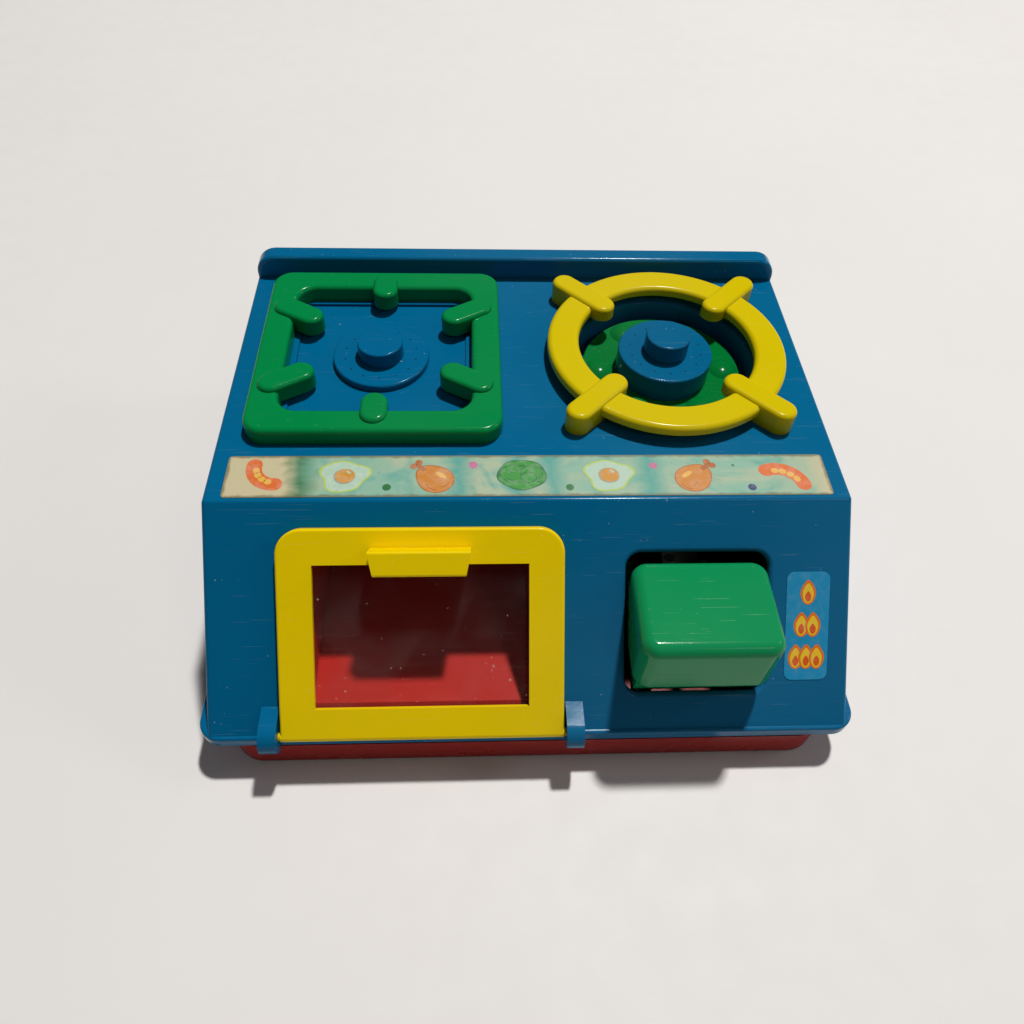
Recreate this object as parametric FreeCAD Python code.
"""Toy kitchen: a small hob with an oven, a press lever and a turning burner.

Frame: origin at the centre of the base's underside, +X to the right of the cook,
+Y to the back, +Z up. Millimetres.
"""
import FreeCAD, Part
import math
import os

# ---- driving dimensions -------------------------------------------------------------
# casing
body_width = 250.0
hob_height = 86.0
panel_angle = 44.4
side_draft = 1.2
shell_wall = 2.5
ridge_depth = 9.0
ridge_height = 11.0
ridge_corner = 9.5
edge_round = 1.8
lip_underside = 16.0
lip_top = 22.0
lip_ledge = 1.6
lip_proud = 4.0
lip_corner = 9.0
lip_top_round = 1.2
lip_under_round = 0.8
hob_skin = 0.2

# base tray
base_side_inset = 5.5
base_back_inset = 4.5
base_corner = 13.0
base_wall = 2.5
base_edge_round = 1.0
flange_corner = 2.0
tongue_rise = 5.0
seam_gap = 0.3

# screws that join the base to the casing
screw_shank = 1.5
screw_head = 2.9
screw_head_height = 2.2
screw_length = 16.0
screw_slot_width = 0.7
screw_slot_depth = 1.0
screw_slot_length = 4.4
screw_inset_x = 14.0
screw_inset_front = 30.0
screw_inset_back = 14.0
boss_wall = 2.6
pilot_gap = 0.04
pilot_run = 2.0
hole_gap = 0.25

# pan supports
support_margin = 10.5
pan_gap_front = 6.4
pan_gap_back = 5.5
square_bar = 12.5
square_height = 7.6
square_corner = 9.0
square_inner_corner = 8.5
support_round = 2.2
finger_count = 6
finger_width = 11.2
finger_rise = 1.8
finger_clear = 1.5
finger_set_in = 4.0
finger_round = 2.0
burner_clear = 10.3
ring_margin = 10.2
ring_band = 13.8
ring_lift = 4.0
ring_thick = 4.9
ring_top_round = 2.3
ring_under_round = 1.2
leg_width = 11.0
leg_height = 10.3
leg_proud = 12.5
leg_round = 2.0
leg_clear = 3.0
peg_radius = 2.0
peg_length = 4.0

# left burner, moulded in the hob
recess_gap = 2.5
recess_depth = 1.2
recess_corner = 2.0
burner_gap = 16.3
burner_low_height = 3.2
burner_top_radius = 9.8
burner_top_height = 10.4
burner_round = 0.9

# right burner, well and shaker disc
well_inset = 12.8
well_depth = 12.5
well_edge_round = 1.4
collar_wall = 3.0
collar_length = 6.0
disc_gap = 3.9
disc_top_drop = 6.5
disc_thick = 3.0
disc_round = 0.8
disc_floor_gap = 0.5
bump_count = 6
bump_margin = 0.95
bump_rise = 2.4
cap_low_rise = 4.8
cap_top_rise = 13.4
cap_top_radius = 9.6

# rotor
spindle_radius = 3.0
spindle_fit = 0.05
spindle_floor = 1.0
spindle_end_gap = 0.1
spindle_in_cap = 2.0
hub_wall = 2.5
socket_wall = 2.4
socket_drop = 1.2
clip_thick = 1.6
clip_wall = 2.6
clip_gap = 0.3
clip_play = 0.1
clip_slit = 4.0
groove_depth = 0.8
groove_fit = 0.05

# gearing and rack
module = 1.0
pinion_teeth = 14
pinion_height = 6.0
sector_radius = 24.0
lever_swing = 12.0
pressure_angle = 20.0
tooth_addendum = 0.8
tooth_dedendum = 1.05
tooth_sink = 0.4
backlash = 0.12
flank_points = 6
sector_teeth_ahead = 3
sector_teeth_behind = 2
rack_teeth_ahead = 4
rack_teeth_behind = 3
side_teeth_ahead = 5
side_teeth_behind = 3
rack_width = 5.0
rack_height = 8.0
rack_gap = 0.25
channel_wall = 6.0
channel_gap = 0.8
stop_thick = 3.0
keeper_drop = 3.0
keeper_thick = 1.8
keeper_inset = 5.0
keeper_shank = 1.0
keeper_screw_length = 8.0
keeper_head = 2.0
keeper_head_height = 1.4
keeper_slot_depth = 0.8

# press lever
lever_side_margin = 33.6
lever_width = 53.6
lever_top_gap = 0.6
lever_back_gap = 2.5
lever_bottom_gap = 10.3
lever_proud = 14.0
lever_wall = 2.5
lever_corner = 6.5
lever_round = 4.6
lever_under_round = 2.4
lever_hub = 6.0
pivot_height = 46.0
pivot_behind = 32.8
axle_radius = 2.0
axle_fit = 0.05
axle_end_wall = 1.0
axle_end_gap = 0.2
post_thick = 4.0
post_eye = 5.6
post_foot = 10.0
side_gap = 1.0
skirt_gap = 1.0
skirt_inset = 2.0
skirt_top_gap = 0.8
skirt_below = 22.0
web_gap = 0.3
arm_above = 20.0
arm_below = 12.0
gusset_reach = 30.0
gusset_drop = 18.0
gusset_in = 4.0
opening_top = 21.0
opening_foot = 14.5
opening_gap = 1.3
opening_corner = 6.0
rim_round = 2.0

# lever spring
spring_radius = 4.0
spring_wire = 0.5
spring_turns = 8
spring_steps = 10
spring_sides = 4
spring_from_centre = 14.0
spring_from_pivot = 30.0
spring_top_drop = 9.0
spigot_gap = 0.4
spigot_height = 6.0
shelf_thick = 2.2
shelf_margin = 3.0

# oven and its door
door_side_margin = 27.6
door_lever_gap = 25.6
door_top = 10.2
door_foot = 1.7
door_thick = 4.0
door_gap = 0.3
door_corner = 10.0
door_face_round = 1.1
door_side_bar = 13.7
door_top_bar = 13.8
door_bottom_bar = 13.2
glass_thick = 1.5
glass_rebate = 3.0
glass_gap = 0.15
glass_play = 0.1
grip_width = 38.0
grip_from_edge = 7.3
grip_reach = 10.0
grip_drop = 9.5
grip_plate = 2.6
grip_round = 1.0
grip_taper = 2.0
trunnion_radius = 1.6
trunnion_length = 5.6
trunnion_fit = 0.06
trunnion_end_gap = 0.3
hinge_clear = 0.7
lug_width = 6.8
lug_radius = 6.3
lug_gap = 0.8
lug_root = 4.0
lug_sink = 0.5
mouth_margin = 4.0
mouth_drop = 2.0
mouth_corner = 3.0
oven_overlap = 1.9
oven_floor_step = 2.0
oven_ceiling_drop = 7.0
oven_back_from_fold = 42.0
liner_wall = 2.0
liner_gap = 0.4
liner_foot_gap = 0.05

# stickers
sticker_thick = 0.2
strip_end_gap = 7.0
strip_depth = 21.0
strip_from_fold = 1.6
strip_corner = 1.5
flame_gap = 7.3
flame_side_gap = 7.8
flame_top = 29.0
flame_foot = 19.0
flame_corner = 3.0

# modelling aids: how far a cutter runs past its piece, how near counts as the same
# place, and a length beyond the whole toy
OVER = 1.0
NEAR = 0.01
BIG = 400.0

# ---- sizes and places that follow ---------------------------------------------------
SLOPE = math.radians(panel_angle)
panel_length = (hob_height - lip_top) / math.sin(SLOPE)
panel_run = (hob_height - lip_top) / math.tan(SLOPE)
draft_run = math.tan(math.radians(side_draft))
foot_half = body_width / 2 + (hob_height - lip_underside) * draft_run
base_half = foot_half - base_side_inset

# pan supports and burners
support_x = body_width / 4
square_size = body_width / 2 - 2 * support_margin
square_peg = square_size / 2 - square_bar / 2
recess_half = square_size / 2 - square_bar - recess_gap
burner_low_radius = recess_half - burner_gap
inner_reach = burner_low_radius + burner_clear
ring_radius = support_x - ring_margin
leg_outer = ring_radius + leg_proud
well_radius = ring_radius - well_inset
disc_radius = well_radius - disc_gap
bump_circle = (burner_low_radius + disc_radius) / 2
bump_radius = (disc_radius - burner_low_radius) / 2 - bump_margin

# along the casing, front to back
support_y_from_fold = strip_from_fold + strip_depth + pan_gap_front + square_size / 2
hob_depth = support_y_from_fold + square_size / 2 + pan_gap_back
casing_length = lip_ledge + panel_run + hob_depth + ridge_depth
base_length = casing_length - base_back_inset
front_y = -base_length / 2
fold_y = front_y + lip_ledge + panel_run
ridge_y = fold_y + hob_depth
back_y = ridge_y + ridge_depth
support_y = fold_y + support_y_from_fold
tongue_top = lip_underside + tongue_rise
base_front = fold_y - (hob_height - tongue_top) / math.tan(SLOPE) + (shell_wall + seam_gap) / math.sin(SLOPE)
base_front_inside = base_front + base_wall

# across the panel: door, lever and sticker
lever_x = body_width / 2 - lever_side_margin - lever_width / 2
door_left = -body_width / 2 + door_side_margin
door_right = lever_x - lever_width / 2 - door_lever_gap
door_width = door_right - door_left
door_centre_x = (door_left + door_right) / 2
window_width = door_width - 2 * door_side_bar
oven_width = window_width + 2 * oven_overlap
flame_x0 = lever_x + lever_width / 2 + opening_gap + flame_gap
flame_x1 = body_width / 2 - flame_side_gap

# down the panel, from the fold
door_bottom = panel_length + door_foot
window_top = door_top + door_top_bar
window_bottom = door_bottom - door_bottom_bar
grip_top = door_top + grip_from_edge
hinge_down = door_bottom - door_thick / 2
hinge_off = door_gap + door_thick / 2
opening_bottom = panel_length - opening_foot
flame_bottom = panel_length - flame_foot

# lever, measured from the fold
lever_top_drop = opening_top * math.sin(SLOPE) + lever_top_gap
lever_bottom_drop = opening_bottom * math.sin(SLOPE) - lever_bottom_gap
lever_back = opening_top * math.cos(SLOPE) + lever_back_gap
lever_front = lever_bottom_drop / math.tan(SLOPE) + lever_proud
pivot_y = fold_y - (hob_height - pivot_height) / math.tan(SLOPE) + pivot_behind


def vec(x, y, z):
    return FreeCAD.Vector(x, y, z)


X_AXIS = vec(1, 0, 0)
Y_AXIS = vec(0, 1, 0)
Z_AXIS = vec(0, 0, 1)


# ---- helpers ------------------------------------------------------------------------
def block(x0, x1, y0, y1, z0, z1):
    return Part.makeBox(x1 - x0, y1 - y0, z1 - z0, vec(x0, y0, z0))


def rod_z(x, y, radius, z0, z1):
    return Part.makeCylinder(radius, z1 - z0, vec(x, y, z0), Z_AXIS)


def rod_x(y, z, radius, x0, x1):
    return Part.makeCylinder(radius, x1 - x0, vec(x0, y, z), X_AXIS)


def prism_x(points, x0, x1):
    """Extrude a closed outline of (y, z) points from x0 to x1."""
    corners = [vec(x0, y, z) for y, z in points]
    wire = Part.makePolygon(corners + corners[:1])
    return Part.Face(wire).extrude(vec(x1 - x0, 0, 0))


def prism_y(points, y0, y1):
    """Extrude a closed outline of (x, z) points from y0 to y1."""
    corners = [vec(x, y0, z) for x, z in points]
    wire = Part.makePolygon(corners + corners[:1])
    return Part.Face(wire).extrude(vec(0, y1 - y0, 0))


def prism_z(points, z0, z1):
    """Extrude a closed outline of (x, y) points from z0 to z1."""
    corners = [vec(x, y, z0) for x, y in points]
    wire = Part.makePolygon(corners + corners[:1])
    return Part.Face(wire).extrude(vec(0, 0, z1 - z0))


def slab(x0, x1, y0, y1, z0, z1, radius):
    """A block with its four upright edges rounded."""
    body = block(x0, x1, y0, y1, z0, z1)
    upright = [e for e in body.Edges if is_along(e, Z_AXIS)]
    return body.makeFillet(radius, upright)


def stadium(length_in, length_out, width, z0, z1):
    """A round-ended bar along +X from length_in to length_out."""
    half = width / 2
    bar = block(length_in + half, length_out - half, -half, half, z0, z1)
    ends = [rod_z(length_in + half, 0, half, z0, z1), rod_z(length_out - half, 0, half, z0, z1)]
    return bar.fuse(ends).removeSplitter()


def is_along(edge, direction):
    if not isinstance(edge.Curve, Part.Line):
        return False
    return abs(edge.tangentAt(edge.FirstParameter).dot(direction)) > 0.999


def edges_at_height(shape, z):
    """Edges whose whole length lies at one height."""
    found = []
    for edge in shape.Edges:
        box = edge.BoundBox
        if abs(box.ZMin - z) < NEAR and abs(box.ZMax - z) < NEAR:
            found.append(edge)
    return found


def round_top(shape, z, radius):
    return shape.makeFillet(radius, edges_at_height(shape, z))


def turned(shape, degrees, axis=Z_AXIS, centre=None):
    copy = shape.copy()
    copy.rotate(centre or vec(0, 0, 0), axis, degrees)
    return copy


def moved(shape, x, y, z):
    copy = shape.copy()
    copy.translate(vec(x, y, z))
    return copy


def on_panel(shape):
    """Take a shape drawn flat (x, -distance down the slope, height off the panel) to its place."""
    placed = turned(shape, panel_angle, X_AXIS)
    placed.translate(vec(0, fold_y, hob_height))
    return placed


def panel_point(down, off):
    """The (y, z) of a point on the panel, from its distance down the slope and off the face."""
    y = fold_y - down * math.cos(SLOPE) - off * math.sin(SLOPE)
    z = hob_height - down * math.sin(SLOPE) + off * math.cos(SLOPE)
    return y, z


def one_solid(shape):
    """The largest solid of a boolean's result, cleaned."""
    clean = shape.removeSplitter()
    return max(clean.Solids, key=lambda solid: solid.Volume)


def save(name, shape):
    solids = shape.Solids
    result = solids[0] if len(solids) == 1 else Part.makeCompound(solids)
    result.exportStep("parts/%s.step" % name)
    print("%-22s solids %d volume %.0f valid %s" % (name, len(solids), shape.Volume, shape.isValid()))


# ---- shared places ------------------------------------------------------------------
hinge_y, hinge_z = panel_point(hinge_down, hinge_off)
left_lug = (door_left - lug_gap - lug_width, door_left - lug_gap)
right_lug = (door_right + lug_gap, door_right + lug_gap + lug_width)
opening_half = lever_width / 2 + opening_gap
lever_top = hob_height - lever_top_drop
lever_bottom = hob_height - lever_bottom_drop
edge_y, edge_z = panel_point(opening_bottom, -shell_wall)
skirt_radius = math.hypot(edge_y - pivot_y, edge_z - pivot_height) - skirt_gap
skirt_above = math.degrees(math.asin((lever_top - pivot_height - skirt_top_gap) / skirt_radius))
post_inner = lever_width / 2 + side_gap
pitch = math.pi * module
tooth_root = tooth_dedendum * module
tooth_tip = tooth_addendum * module
pinion_radius = module * pinion_teeth / 2
rack_x0 = support_x + pinion_radius
rack_bar_x0 = rack_x0 + tooth_root
rack_x1 = rack_x0 + rack_width
rack_z1 = pivot_height - sector_radius
rack_z0 = rack_z1 - rack_height
rack_neck_y = pivot_y + (rack_teeth_behind + 1.5) * pitch
web_x0 = rack_bar_x0 + web_gap
web_x1 = rack_x1 - web_gap
channel_x0 = rack_bar_x0 - rack_gap
channel_x1 = rack_x1 + rack_gap
channel_y0 = rack_neck_y + sector_radius * math.radians(lever_swing) + channel_gap
channel_y1 = support_y - side_teeth_ahead * pitch - rack_gap
channel_top = rack_z1 - keeper_drop
keeper_places = [(channel_x0 - channel_wall / 2, channel_y0 + keeper_inset),
                 (channel_x1 + channel_wall / 2, channel_y1 - keeper_inset)]
disc_top = hob_height - disc_top_drop
spring_x = lever_x - spring_from_centre
spring_y = pivot_y - spring_from_pivot
spring_top = pivot_height - spring_top_drop
well_floor = hob_height - well_depth
collar_foot = well_floor - shell_wall - collar_length
clip_z0 = collar_foot - clip_gap - clip_thick
spindle_foot = base_wall + spindle_floor
spindle_top = hob_height + cap_low_rise + spindle_in_cap
screw_xs = (-(foot_half - screw_inset_x), foot_half - screw_inset_x)
screw_ys = (front_y + screw_inset_front, back_y - screw_inset_back)
screw_places = [(x, y) for x in screw_xs for y in screw_ys]
screw_seat = tongue_top - 2 * base_wall
oven_x0 = door_centre_x - oven_width / 2
oven_x1 = door_centre_x + oven_width / 2
oven_back = fold_y + oven_back_from_fold
oven_floor = panel_point(window_bottom, 0)[1] - oven_floor_step
oven_ceiling = hob_height - oven_ceiling_drop
leg_peg_reach = leg_outer - leg_width / 2
leg_angles = (45, 135, 225, 315)


# ---- casing -------------------------------------------------------------------------
def casing_block(inset):
    """The casing as one solid, or its hollow when inset is the wall."""
    toe_y = fold_y - (hob_height - lip_underside) / math.tan(SLOPE)
    fold = (fold_y + inset * math.tan(SLOPE / 2), hob_height - inset)
    toe = (toe_y + inset / math.sin(SLOPE), lip_underside)
    profile = [toe, fold, (back_y - inset, hob_height - inset), (back_y - inset, lip_underside)]
    half_top = body_width / 2 - inset
    half_foot = foot_half - inset
    sides = [(-half_foot, lip_underside), (-half_top, hob_height),
             (half_top, hob_height), (half_foot, lip_underside)]
    solid = prism_x(profile, -BIG, BIG).common(prism_y(sides, -BIG, BIG))
    return solid.common(block(-BIG, BIG, front_y + lip_ledge + inset, BIG, 0, BIG))


def ridge_block():
    half = body_width / 2
    ridge = block(-half, half, ridge_y, back_y, hob_height - 2 * edge_round, hob_height + ridge_height)
    ends = [e for e in ridge.Edges if is_along(e, Y_AXIS) and e.BoundBox.ZMin > hob_height]
    return ridge.makeFillet(ridge_corner, ends)


def rounded_casing():
    """The casing's outside: the block with its fold and sides rounded, and the rear ridge."""
    body = casing_block(0)
    chosen = []
    for edge in body.Edges:
        box = edge.BoundBox
        on_fold = is_along(edge, X_AXIS) and abs(box.YMin - fold_y) < NEAR
        on_side = box.XLength < body_width / 2 and not is_along(edge, Z_AXIS)
        if box.ZMin > lip_underside + NEAR and (on_fold or on_side):
            chosen.append(edge)
    body = body.makeFillet(edge_round, chosen)
    ridge = ridge_block()
    rims = []
    for edge in ridge.Edges:
        box = edge.BoundBox
        if box.YLength < NEAR and box.ZMax > hob_height:
            rims.append(edge)
    return body.fuse(ridge.makeFillet(edge_round, rims))


def lip_band():
    half = foot_half + lip_proud
    band = slab(-half, half, front_y, back_y + lip_proud, lip_underside, lip_top, lip_corner)
    band = round_top(band, lip_top, lip_top_round)
    return round_top(band, lip_underside, lip_under_round)


def hinge_lug(x0, x1):
    boss = rod_x(hinge_y, hinge_z, lug_radius, x0, x1)
    root_y = panel_point(hinge_down - lug_radius, -lug_sink)[0] + lug_root
    high = hinge_z + lug_radius
    low = hinge_z - lug_radius
    web = prism_x([(hinge_y, high), (root_y, high), (root_y, low), (hinge_y, low)], x0, x1)
    return boss.fuse(web).removeSplitter()


def left_burner():
    """The moulded burner's two steps, and the hollow under its lower step."""
    floor = hob_height - recess_depth
    low_z = floor + burner_low_height
    top_z = floor + burner_top_height
    low = rod_z(-support_x, support_y, burner_low_radius, floor - shell_wall, low_z)
    low = round_top(low, low_z, burner_round)
    top = rod_z(-support_x, support_y, burner_top_radius, hob_height - shell_wall, top_z)
    top = round_top(top, top_z, burner_round)
    hollow = rod_z(-support_x, support_y, burner_low_radius - shell_wall, hob_height - 3 * shell_wall,
                   low_z - shell_wall)
    return low.fuse(top), hollow


def well_parts():
    """The well's wall and collar, the space cut from them, and the spindle's bore."""
    outer = rod_z(support_x, support_y, well_radius + shell_wall, well_floor - shell_wall,
                  hob_height - hob_skin)
    collar = rod_z(support_x, support_y, spindle_radius + collar_wall, collar_foot, well_floor)
    inner = rod_z(support_x, support_y, well_radius, well_floor, hob_height + ridge_height)
    bore = rod_z(support_x, support_y, spindle_radius + spindle_fit, collar_foot - OVER, well_floor + OVER)
    rim = well_radius + well_edge_round
    rim_z = hob_height - well_edge_round
    flare = Part.makeTorus(rim, well_edge_round, vec(support_x, support_y, rim_z), Z_AXIS)
    mouth = rod_z(support_x, support_y, rim, rim_z, hob_height + OVER)
    return outer.fuse(collar), inner.fuse(mouth.cut(flare)), bore


def shell_screw_bosses():
    inside = casing_block(hob_skin)
    bosses = []
    for x, y in screw_places:
        boss = rod_z(x, y, screw_shank + boss_wall, tongue_top + seam_gap, hob_height)
        bosses.append(boss.common(inside))
    return bosses


def support_peg_places():
    places = []
    for angle in leg_angles:
        turn = math.radians(angle)
        x = support_x + leg_peg_reach * math.cos(turn)
        y = support_y + leg_peg_reach * math.sin(turn)
        places.append((x, y))
    for side_x in (-1, 1):
        for side_y in (-1, 1):
            places.append((-support_x + side_x * square_peg, support_y + side_y * square_peg))
    return places


def square_pad(half, z0, z1):
    """A square block under or in the hob, centred on the left burner."""
    return moved(slab(-half, half, -half, half, z0, z1, recess_corner), -support_x, support_y, 0)


def opening_cutter():
    """What is cut from the panel round the lever: a straight hole that flares out at the face."""
    x0, x1 = lever_x - opening_half, lever_x + opening_half
    y0, y1 = -opening_bottom, -opening_top
    hole = slab(x0, x1, y0, y1, -3 * shell_wall, OVER, opening_corner)
    flare = rim_round
    wide = slab(x0 - flare, x1 + flare, y0 - flare, y1 + flare, -flare, OVER, opening_corner + flare)
    stock = 2 * flare
    rim = slab(x0 - stock, x1 + stock, y0 - stock, y1 + stock, -flare, 0, opening_corner + stock)
    rim = rim.cut(hole)
    edge = [e for e in edges_at_height(rim, 0) if e.BoundBox.XMin > x0 - NEAR and e.BoundBox.XMax < x1 + NEAR]
    return hole.fuse(wide.cut(rim.makeFillet(flare - NEAR, edge)))


def oven_hole():
    half = window_width / 2 + mouth_margin
    return slab(door_centre_x - half, door_centre_x + half, -window_bottom - mouth_drop,
                -window_top + mouth_margin, -3 * shell_wall, OVER, mouth_corner)


def door_room():
    """What is cut from the lip and panel so that the door can hang and swing."""
    x0, x1 = door_left - lug_gap, door_right + lug_gap
    notch = on_panel(block(x0, x1, -hinge_down, -hinge_down + 3 * lug_radius, 0, 2 * lug_radius))
    sweep = rod_x(hinge_y, hinge_z, door_thick / 2 + hinge_clear, x0, x1)
    socket = trunnion_radius + trunnion_fit
    depth = trunnion_length + trunnion_end_gap
    sockets = [rod_x(hinge_y, hinge_z, socket, door_left - depth, door_left),
               rod_x(hinge_y, hinge_z, socket, door_right, door_right + depth)]
    return [notch, sweep] + sockets


def body_shell():
    solid = rounded_casing()
    solid = solid.fuse([lip_band(), hinge_lug(*left_lug), hinge_lug(*right_lug)])
    mouth = block(-foot_half + shell_wall, foot_half - shell_wall, front_y + lip_ledge + shell_wall,
                  back_y - shell_wall, 0, lip_underside + hob_skin)
    solid = solid.cut([casing_block(shell_wall), mouth])

    floor_z = hob_height - recess_depth
    floor = square_pad(recess_half + shell_wall, floor_z - shell_wall, hob_height - hob_skin)
    recess = square_pad(recess_half, floor_z, hob_height + OVER)
    burner, burner_hollow = left_burner()
    solid = solid.fuse(floor).cut(recess)
    solid = solid.fuse(burner).cut(burner_hollow)

    well_outer, well_inner, bore = well_parts()
    solid = solid.fuse([well_outer] + shell_screw_bosses())
    solid = solid.cut([well_inner, bore])

    cuts = [on_panel(opening_cutter()), on_panel(oven_hole())] + door_room()
    pilot_top = screw_seat + screw_length + pilot_run
    for x, y in screw_places:
        cuts.append(rod_z(x, y, screw_shank + pilot_gap, 0, pilot_top))
    for x, y in support_peg_places():
        cuts.append(rod_z(x, y, peg_radius + pilot_gap, hob_height - peg_length - OVER, hob_height + OVER))
    return one_solid(solid.cut(cuts))


# ---- base ---------------------------------------------------------------------------
def base_tray():
    back = back_y - base_back_inset
    inner_half = foot_half - shell_wall - seam_gap
    inner_back = back_y - shell_wall - seam_gap
    flange_z = lip_underside + seam_gap
    body = slab(-base_half, base_half, front_y, back, 0, lip_underside - seam_gap, base_corner)
    body = round_top(body, 0, base_edge_round)
    core = slab(-base_half, base_half, base_front, back, base_edge_round, tongue_top, base_corner)
    flange = slab(-inner_half, inner_half, base_front, inner_back, flange_z, flange_z + base_wall,
                  flange_corner)
    body = body.fuse([core, flange])
    pocket = slab(-base_half + base_wall, base_half - base_wall, base_front_inside, back - base_wall,
                  base_wall, tongue_top + OVER, base_corner - base_wall)
    body = body.cut(pocket)

    posts = axle_posts() + rack_channel() + [spindle_socket(), spring_spigot()]
    holes = []
    for x, y in screw_places:
        posts.append(rod_z(x, y, screw_head + base_wall, 0, tongue_top))
        holes.append(rod_z(x, y, screw_head + hole_gap, -OVER, screw_seat))
        holes.append(rod_z(x, y, screw_shank + hole_gap, 0, tongue_top + OVER))
    margin = base_wall / 2
    clear = slab(-base_half + margin, base_half - margin, front_y + margin, back - margin, 0, hob_height,
                 base_corner - margin)
    body = body.fuse([post.common(clear) for post in posts])
    holes.append(rod_z(support_x, support_y, spindle_radius + spindle_fit, spindle_foot, tongue_top + OVER))
    bore = axle_radius + axle_fit
    reach = post_inner + post_thick - axle_end_wall
    holes.append(rod_x(pivot_y, pivot_height, bore, lever_x - reach, lever_x + reach))
    pilot_z = channel_top - keeper_screw_length
    for x, y in keeper_places:
        holes.append(rod_z(x, y, keeper_shank + pilot_gap, pilot_z, channel_top + OVER))
    return one_solid(body.cut(holes))


def axle_posts():
    """The two upright cheeks that carry the ends of the lever's axle in blind holes."""
    foot_z = base_wall / 2
    outline = [(pivot_y - post_foot, foot_z), (pivot_y + post_foot, foot_z),
               (pivot_y + post_eye, pivot_height), (pivot_y - post_eye, pivot_height)]
    posts = []
    for near in (lever_x - post_inner - post_thick, lever_x + post_inner):
        cheek = prism_x(outline, near, near + post_thick)
        posts.append(cheek.fuse(rod_x(pivot_y, pivot_height, post_eye, near, near + post_thick)))
    return posts


def rack_channel():
    """Two blocks with a slot between them that guides the rack, and a stop behind its side teeth."""
    foot_z = base_wall / 2
    x0 = channel_x0 - channel_wall
    x1 = channel_x1 + channel_wall
    floor = block(x0, x1, channel_y0, channel_y1, foot_z, rack_z0 - rack_gap)
    left = block(x0, channel_x0, channel_y0, channel_y1, foot_z, channel_top)
    right = block(channel_x1, x1, channel_y0, channel_y1, foot_z, channel_top)
    stop_end = support_y + (side_teeth_behind + 1) * pitch
    stop = block(channel_x1, channel_x1 + stop_thick, channel_y1 + rack_gap, stop_end, foot_z,
                 rack_z0 + pinion_height)
    return [floor, left, right, stop]


def spindle_socket():
    return rod_z(support_x, support_y, spindle_radius + socket_wall, base_wall / 2, rack_z0 - socket_drop)


def spring_spigot():
    radius = spring_radius - spring_wire - spigot_gap
    return rod_z(spring_x, spring_y, radius, base_wall / 2, base_wall + spigot_height)


def base_screws():
    screws = []
    foot_z = screw_seat - screw_head_height
    half = screw_slot_length / 2
    thin = screw_slot_width / 2
    for x, y in screw_places:
        head = rod_z(x, y, screw_head, foot_z, screw_seat)
        slot = block(x - half, x + half, y - thin, y + thin, foot_z - OVER, foot_z + screw_slot_depth)
        cross = turned(slot, 90, Z_AXIS, vec(x, y, 0))
        shank = rod_z(x, y, screw_shank, screw_seat, screw_seat + screw_length)
        screws.append(head.cut([slot, cross]).fuse(shank).removeSplitter())
    return Part.makeCompound(screws)


# ---- oven ---------------------------------------------------------------------------
def oven_liner():
    """An open-fronted box behind the door; its walls stand on the base tray."""
    front = base_front_inside + liner_gap
    foot_z = base_wall + liner_foot_gap
    roof_z = oven_ceiling + liner_wall
    drop = (shell_wall + liner_gap) / math.cos(SLOPE)
    front_z = hob_height - drop - (fold_y - front) * math.tan(SLOPE)
    roof_y = fold_y - (hob_height - drop - roof_z) / math.tan(SLOPE)
    outline = [(front, foot_z), (front, front_z), (roof_y, roof_z),
               (oven_back + liner_wall, roof_z), (oven_back + liner_wall, foot_z)]
    outer = prism_x(outline, oven_x0 - liner_wall, oven_x1 + liner_wall)
    cavity = block(oven_x0, oven_x1, -BIG, oven_back, oven_floor, oven_ceiling)
    foot = block(oven_x0, oven_x1, front + liner_wall, oven_back, 0, oven_floor - liner_wall)
    return one_solid(outer.cut([cavity, foot]))


def door_frame():
    z0 = door_gap
    z1 = door_gap + door_thick
    plate = block(door_left, door_right, -hinge_down, -door_top, z0, z1)
    corners = [e for e in plate.Edges if is_along(e, Z_AXIS) and e.BoundBox.YMax > -door_top - NEAR]
    plate = plate.makeFillet(door_corner, corners)
    face = [e for e in edges_at_height(plate, z1) if e.BoundBox.YMax > -hinge_down + NEAR]
    plate = plate.makeFillet(door_face_round, face)
    plate = plate.fuse(rod_x(-hinge_down, hinge_off, door_thick / 2, door_left, door_right))
    half = window_width / 2
    sight = block(door_centre_x - half, door_centre_x + half, -window_bottom, -window_top, -OVER, z1 + OVER)
    seat_half = half + glass_rebate
    seat = block(door_centre_x - seat_half, door_centre_x + seat_half, -window_bottom - glass_rebate,
                 -window_top + glass_rebate, -OVER, z0 + glass_thick + 2 * glass_play)
    plate = plate.cut([sight, seat])
    pins = [rod_x(-hinge_down, hinge_off, trunnion_radius, door_left - trunnion_length, door_left + OVER),
            rod_x(-hinge_down, hinge_off, trunnion_radius, door_right - OVER, door_right + trunnion_length)]
    return one_solid(on_panel(plate.fuse(pins + [door_grip(z1)])))


def door_grip(face_z):
    """A ledge that stands out from the top rail and turns down, tapering towards its lower edge."""
    root = face_z - OVER
    reach = face_z + grip_reach
    top = -grip_top
    low = -grip_top - grip_drop
    inner = reach - grip_plate
    outline = [(top, root), (top, reach), (low, reach), (low, inner), (top - grip_plate, inner),
               (top - grip_plate, root)]
    x0 = door_centre_x - grip_width / 2
    x1 = door_centre_x + grip_width / 2
    ledge = prism_x(outline, x0, x1)
    outer = [e for e in edges_at_height(ledge, reach) if is_along(e, X_AXIS)]
    ledge = ledge.makeFillet(grip_round, outer)
    plan = [(x0, top + OVER), (x1, top + OVER), (x1, top - OVER), (x1 - grip_taper, low - OVER),
            (x0 + grip_taper, low - OVER), (x0, top - OVER)]
    return ledge.common(prism_z(plan, -BIG, BIG))


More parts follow.
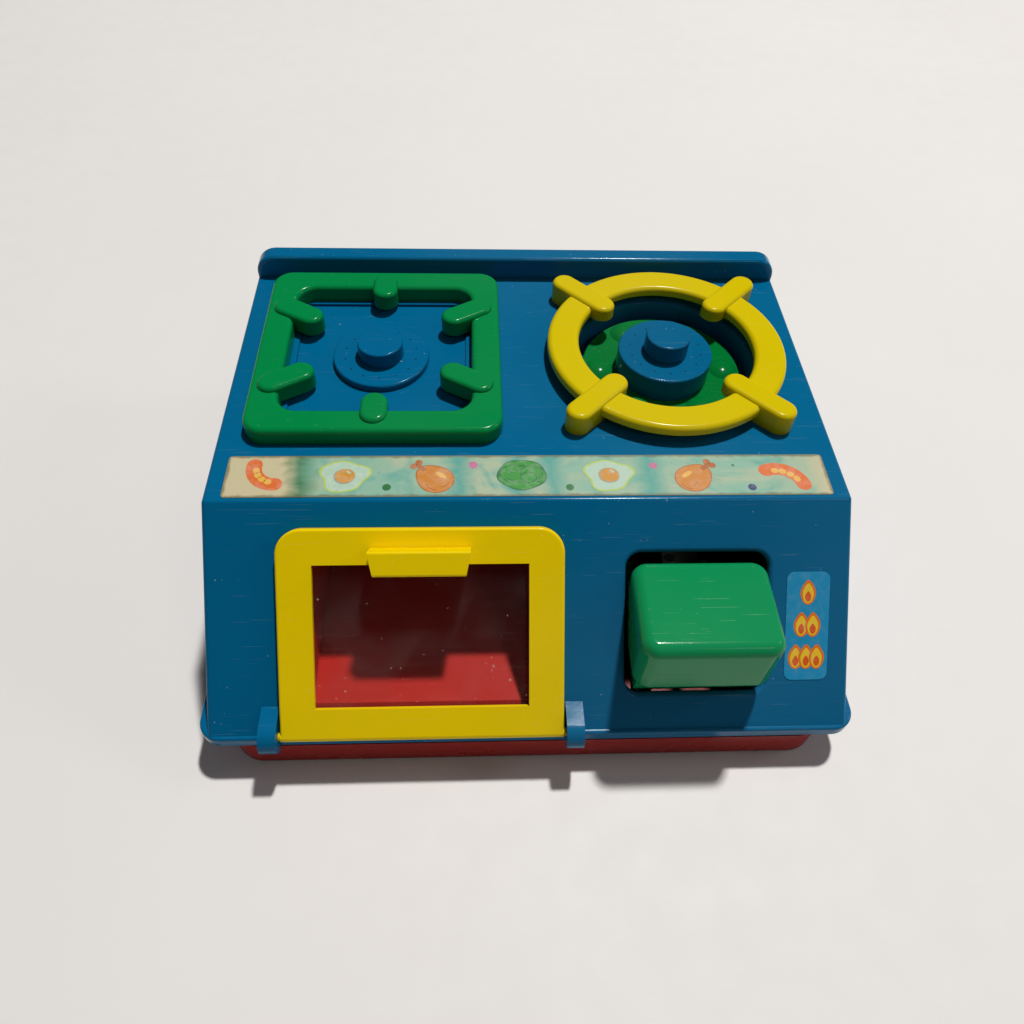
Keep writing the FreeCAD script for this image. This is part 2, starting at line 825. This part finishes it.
def door_window():
    half = window_width / 2 + glass_rebate - glass_gap
    z0 = door_gap + glass_play
    sheet = block(door_centre_x - half, door_centre_x + half, -window_bottom - glass_rebate + glass_gap,
                  -window_top + glass_rebate - glass_gap, z0, z0 + glass_thick)
    return on_panel(sheet)


# ---- pan supports -------------------------------------------------------------------
def square_pan_support():
    half = square_size / 2
    hole = half - square_bar
    plate = slab(-half, half, -half, half, 0, square_height, square_corner)
    plate = round_top(plate, square_height, support_round)
    plate = plate.cut(slab(-hole, hole, -hole, hole, -OVER, square_height + OVER, square_inner_corner))
    inner = [e for e in edges_at_height(plate, square_height) if e.BoundBox.XMax < hole + NEAR
             and e.BoundBox.XMin > -hole - NEAR and e.BoundBox.YMax < hole + NEAR
             and e.BoundBox.YMin > -hole - NEAR]
    plate = plate.makeFillet(support_round, inner)
    fingers = []
    top = square_height + finger_rise
    step = 360 / finger_count
    for k in range(finger_count):
        angle = step * (k + 0.5)
        along = max(abs(math.cos(math.radians(angle))), abs(math.sin(math.radians(angle))))
        reach = (half - finger_set_in) / along
        finger = round_top(stadium(inner_reach, reach, finger_width, finger_clear, top), top, finger_round)
        fingers.append(turned(finger, angle))
    plate = plate.fuse(fingers)
    for side_x in (-1, 1):
        for side_y in (-1, 1):
            plate = plate.fuse(rod_z(side_x * square_peg, side_y * square_peg, peg_radius, -peg_length, OVER))
    return moved(one_solid(plate), -support_x, support_y, hob_height)


def ring_pan_support():
    top = ring_lift + ring_thick
    ring = rod_z(0, 0, ring_radius, ring_lift, top)
    ring = ring.cut(rod_z(0, 0, ring_radius - ring_band, 0, top + OVER))
    ring = round_top(ring, top, ring_top_round)
    ring = round_top(ring, ring_lift, ring_under_round)
    for angle in leg_angles:
        leg = stadium(inner_reach, leg_outer, leg_width, 0, leg_height)
        leg = round_top(leg, leg_height, leg_round)
        leg = leg.cut(block(0, well_radius + leg_clear, -leg_width, leg_width, -OVER, ring_lift))
        leg = leg.fuse(rod_z(leg_peg_reach, 0, peg_radius, -peg_length, OVER))
        ring = ring.fuse(turned(leg, angle))
    return moved(one_solid(ring), support_x, support_y, hob_height)


# ---- rotor --------------------------------------------------------------------------
def burner_cap():
    mid_z = hob_height + cap_low_rise
    top_z = hob_height + cap_top_rise
    low = round_top(rod_z(0, 0, burner_low_radius, disc_top, mid_z), mid_z, burner_round)
    top = round_top(rod_z(0, 0, cap_top_radius, mid_z - OVER, top_z), top_z, burner_round)
    cap = low.fuse(top)
    cap = cap.cut(rod_z(0, 0, burner_low_radius - shell_wall, disc_top - OVER, mid_z - shell_wall))
    cap = cap.fuse(rod_z(0, 0, spindle_radius + hub_wall, disc_top, mid_z))
    cap = cap.cut(rod_z(0, 0, spindle_radius, disc_top - OVER, spindle_top))
    return moved(one_solid(cap), support_x, support_y, 0)


def shaker_disc():
    disc = rod_z(0, 0, disc_radius, disc_top - disc_thick, disc_top)
    disc = round_top(disc, disc_top, disc_round)
    ball = (bump_radius ** 2 + bump_rise ** 2) / (2 * bump_rise)
    for k in range(bump_count):
        turn = 2 * math.pi * k / bump_count
        x = bump_circle * math.cos(turn)
        y = bump_circle * math.sin(turn)
        sphere = Part.makeSphere(ball, vec(x, y, disc_top + bump_rise - ball))
        disc = disc.fuse(sphere.common(rod_z(x, y, bump_radius, disc_top - OVER, disc_top + 2 * bump_rise)))
    disc = disc.fuse(rod_z(0, 0, spindle_radius + hub_wall, well_floor + disc_floor_gap, disc_top))
    disc = disc.cut(rod_z(0, 0, spindle_radius, 0, BIG))
    return moved(one_solid(disc), support_x, support_y, 0)


def rotor_spindle():
    shaft = rod_z(support_x, support_y, spindle_radius, spindle_foot + spindle_end_gap, spindle_top)
    ring = rod_z(support_x, support_y, spindle_radius + OVER, clip_z0, clip_z0 + clip_thick)
    ring = ring.cut(rod_z(support_x, support_y, spindle_radius - groove_depth, 0, BIG))
    return shaft.cut(ring)


def spindle_clip():
    ring = rod_z(0, 0, spindle_radius + clip_wall, clip_z0 + clip_play, clip_z0 + clip_thick - clip_play)
    ring = ring.cut(rod_z(0, 0, spindle_radius - groove_depth + groove_fit, 0, BIG))
    ring = ring.cut(block(0, BIG, -clip_slit / 2, clip_slit / 2, 0, BIG))
    return moved(ring, support_x, support_y, 0)


def involute_tooth(radius, centre_angle, root_radius):
    """Corner points of one involute tooth of a gear about the origin."""
    base = radius * math.cos(math.radians(pressure_angle))
    tip = radius + tooth_tip
    half_angle = (pitch / 2 - backlash / 2) / (2 * radius)
    involute = math.tan(math.radians(pressure_angle)) - math.radians(pressure_angle)
    start = max(base, root_radius)
    flank = []
    for k in range(flank_points):
        r = start + (tip - start) * k / (flank_points - 1)
        roll = math.acos(min(1.0, base / r))
        flank.append((r, half_angle + involute - (math.tan(roll) - roll)))
    foot = (root_radius - tooth_sink, flank[0][1])
    left = [(r, centre_angle + spread) for r, spread in [foot] + flank]
    right = [(r, centre_angle - spread) for r, spread in reversed([foot] + flank)]
    return [(r * math.cos(a), r * math.sin(a)) for r, a in left + right]


def rotor_pinion():
    root = pinion_radius - tooth_root
    top = rack_z0 + pinion_height
    gear = rod_z(0, 0, root, rack_z0, top)
    for k in range(pinion_teeth):
        angle = 2 * math.pi * k / pinion_teeth
        gear = gear.fuse(prism_z(involute_tooth(pinion_radius, angle, root), rack_z0, top))
    gear = gear.cut(rod_z(0, 0, spindle_radius, 0, BIG))
    return moved(one_solid(gear), support_x, support_y, 0)


def rack_tooth(centre):
    """(along, out) corner points of one rack tooth that stands out from the pitch line at 0."""
    lean = math.tan(math.radians(pressure_angle))
    half = (pitch / 2 - backlash / 2) / 2
    foot = tooth_root + tooth_sink
    wide = half + lean * foot
    narrow = half - lean * tooth_tip
    left = [(centre - wide, -foot), (centre - narrow, tooth_tip)]
    return left + [(centre + narrow, tooth_tip), (centre + wide, -foot)]


def drive_rack():
    front = pivot_y - (rack_teeth_ahead + 0.5) * pitch
    back = support_y + (side_teeth_behind + 0.5) * pitch
    low_top = channel_top - rack_gap
    bar = block(rack_bar_x0, rack_x1, front, back, rack_z0, rack_z1 - tooth_root)
    bar = bar.cut(block(rack_bar_x0 - OVER, rack_x1 + OVER, rack_neck_y, back + OVER, low_top, rack_z1))
    teeth = []
    for k in range(-rack_teeth_ahead, rack_teeth_behind):
        points = rack_tooth(pivot_y + (k + 0.5) * pitch)
        teeth.append(prism_x([(y, rack_z1 + out) for y, out in points], rack_bar_x0, rack_x1))
    for k in range(-side_teeth_ahead, side_teeth_behind):
        points = rack_tooth(support_y + (k + 0.5) * pitch)
        teeth.append(prism_z([(rack_x0 - out, y) for y, out in points], rack_z0, low_top))
    return one_solid(bar.fuse(teeth))


def rack_keeper():
    plate = block(channel_x0 - channel_wall, channel_x1 + channel_wall, channel_y0, channel_y1, channel_top,
                  channel_top + keeper_thick)
    return plate.cut([rod_z(x, y, keeper_shank + hole_gap, 0, BIG) for x, y in keeper_places])


def keeper_screws():
    screws = []
    seat = channel_top + keeper_thick
    top = seat + keeper_head_height
    thin = screw_slot_width / 2
    slot_z = top - keeper_slot_depth
    for x, y in keeper_places:
        slot = block(x - keeper_head, x + keeper_head, y - thin, y + thin, slot_z, top + OVER)
        head = rod_z(x, y, keeper_head, seat, top).cut(slot)
        shank = rod_z(x, y, keeper_shank, seat - keeper_screw_length, seat)
        screws.append(head.fuse(shank).removeSplitter())
    return Part.makeCompound(screws)


# ---- lever --------------------------------------------------------------------------
def sector_disc(radius, x0, x1, start, end):
    """A pie slice about the axle, between two angles measured from +Y towards +Z."""
    points = [(pivot_y, pivot_height)]
    reach = 2 * radius
    for share in (0.0, 0.25, 0.5, 0.75, 1.0):
        turn = math.radians(start + (end - start) * share)
        points.append((pivot_y + reach * math.cos(turn), pivot_height + reach * math.sin(turn)))
    return rod_x(pivot_y, pivot_height, radius, x0, x1).common(prism_x(points, x0 - OVER, x1 + OVER))


def lever():
    half = lever_width / 2
    x0, x1 = lever_x - half, lever_x + half
    y0, y1 = fold_y - lever_front, fold_y - lever_back
    paddle = slab(x0, x1, y0, y1, lever_bottom, lever_top, lever_corner)
    paddle = round_top(paddle, lever_top, lever_round)
    paddle = round_top(paddle, lever_bottom, lever_under_round)
    cheek_x0, cheek_x1 = x0 + skirt_inset, x1 - skirt_inset
    skirt = sector_disc(skirt_radius, cheek_x0, cheek_x1, 180 - skirt_above, 180 + skirt_below)
    body = paddle.fuse(skirt)
    wall = lever_wall
    hollow_box = slab(x0 + wall, x1 - wall, y0 + wall, BIG, lever_bottom + wall, lever_top - wall,
                      lever_corner - wall)
    under_top = block(x0, x1, -BIG, BIG, 0, lever_top - wall)
    hollow_round = rod_x(pivot_y, pivot_height, skirt_radius - wall, cheek_x0 + wall, cheek_x1 - wall)
    body = body.cut([hollow_box, hollow_round.common(under_top)])
    hubs = [rod_x(pivot_y, pivot_height, lever_hub, cheek_x0, cheek_x0 + wall),
            rod_x(pivot_y, pivot_height, lever_hub, cheek_x1 - wall, cheek_x1)]
    body = body.fuse(hubs + [toothed_web(), spring_shelf()])
    body = body.cut(rod_x(pivot_y, pivot_height, axle_radius + axle_fit, x0 - OVER, x1 + OVER))
    return one_solid(body)


def spring_shelf():
    """The rib inside the skirt that the spring pushes up on."""
    x0 = lever_x - lever_width / 2 + skirt_inset + OVER
    x1 = web_x0 + OVER
    shelf = block(x0, x1, pivot_y - skirt_radius, spring_y + spring_radius + shelf_margin, spring_top,
                  spring_top + shelf_thick)
    return shelf.common(rod_x(pivot_y, pivot_height, skirt_radius - OVER, x0, x1))


def toothed_web():
    """The plate inside the lever that carries the sector of teeth for the rack."""
    root = sector_radius - tooth_root
    tooth_angle = math.degrees(pitch / sector_radius)
    start = 270 - (sector_teeth_ahead + 0.5) * tooth_angle
    end = 270 + (sector_teeth_behind + 0.5) * tooth_angle
    wedge = sector_disc(root, web_x0, web_x1, start, end)
    arm = sector_disc(skirt_radius - lever_wall / 2, web_x0, web_x1, 180 - arm_above, 180 + arm_below)
    hub = rod_x(pivot_y, pivot_height, lever_hub, web_x0, web_x1)
    gusset = prism_x([(pivot_y - gusset_reach, pivot_height), (pivot_y, pivot_height),
                      (pivot_y - gusset_in, pivot_height - gusset_drop)], web_x0, web_x1)
    web = wedge.fuse([arm, hub, gusset])
    for k in range(-sector_teeth_ahead, sector_teeth_behind):
        points = involute_tooth(sector_radius, math.radians(270 + k * tooth_angle), root)
        web = web.fuse(prism_x([(pivot_y + y, pivot_height + z) for y, z in points], web_x0, web_x1))
    return web


def lever_axle():
    reach = post_inner + post_thick - axle_end_wall - axle_end_gap
    return rod_x(pivot_y, pivot_height, axle_radius, lever_x - reach, lever_x + reach)


# ---- lever spring -------------------------------------------------------------------
def lever_spring():
    """A compression coil between the base's spigot and the rib in the lever, its wire faceted."""
    z0 = base_wall + spring_wire
    z1 = spring_top - spring_wire
    count = spring_turns * spring_steps
    rings = []
    for k in range(count + 1):
        rings.append(coil_section(2 * math.pi * k / spring_steps, z0 + (z1 - z0) * k / count))
    faces = [triangle_face(rings[0]), triangle_face(rings[-1])]
    for near, far in zip(rings, rings[1:]):
        for j in range(spring_sides):
            after = (j + 1) % spring_sides
            faces.append(triangle_face([near[j], near[after], far[after]]))
            faces.append(triangle_face([near[j], far[after], far[j]]))
    coil = Part.Solid(Part.Shell(faces))
    if coil.Volume < 0:
        coil.reverse()
    return moved(coil, spring_x, spring_y, 0)


def coil_section(turn, z):
    """Corners of the wire's section where the coil has turned so far."""
    corners = []
    for j in range(spring_sides):
        angle = 2 * math.pi * (j + 0.5) / spring_sides
        reach = spring_radius + spring_wire * math.cos(angle)
        corners.append(vec(reach * math.cos(turn), reach * math.sin(turn), z + spring_wire * math.sin(angle)))
    return corners


def triangle_face(corners):
    """A flat face between its corners."""
    return Part.Face(Part.makePolygon(corners + corners[:1]))


# ---- stickers -----------------------------------------------------------------------
def food_sticker():
    y0 = fold_y + strip_from_fold
    half = body_width / 2 - strip_end_gap
    return slab(-half, half, y0, y0 + strip_depth, hob_height, hob_height + sticker_thick, strip_corner)


def flame_sticker():
    return on_panel(slab(flame_x0, flame_x1, -flame_bottom, -flame_top, 0, sticker_thick, flame_corner))


os.makedirs("parts", exist_ok=True)
save("body_shell", body_shell())
save("base_tray", base_tray())
save("base_screws", base_screws())
save("oven_liner", oven_liner())
save("door_frame", door_frame())
save("door_window", door_window())
save("square_pan_support", square_pan_support())
save("ring_pan_support", ring_pan_support())
save("burner_cap", burner_cap())
save("shaker_disc", shaker_disc())
save("rotor_spindle", rotor_spindle())
save("spindle_clip", spindle_clip())
save("rotor_pinion", rotor_pinion())
save("drive_rack", drive_rack())
save("rack_keeper", rack_keeper())
save("keeper_screws", keeper_screws())
save("lever", lever())
save("lever_axle", lever_axle())
save("lever_spring", lever_spring())
save("food_sticker", food_sticker())
save("flame_sticker", flame_sticker())
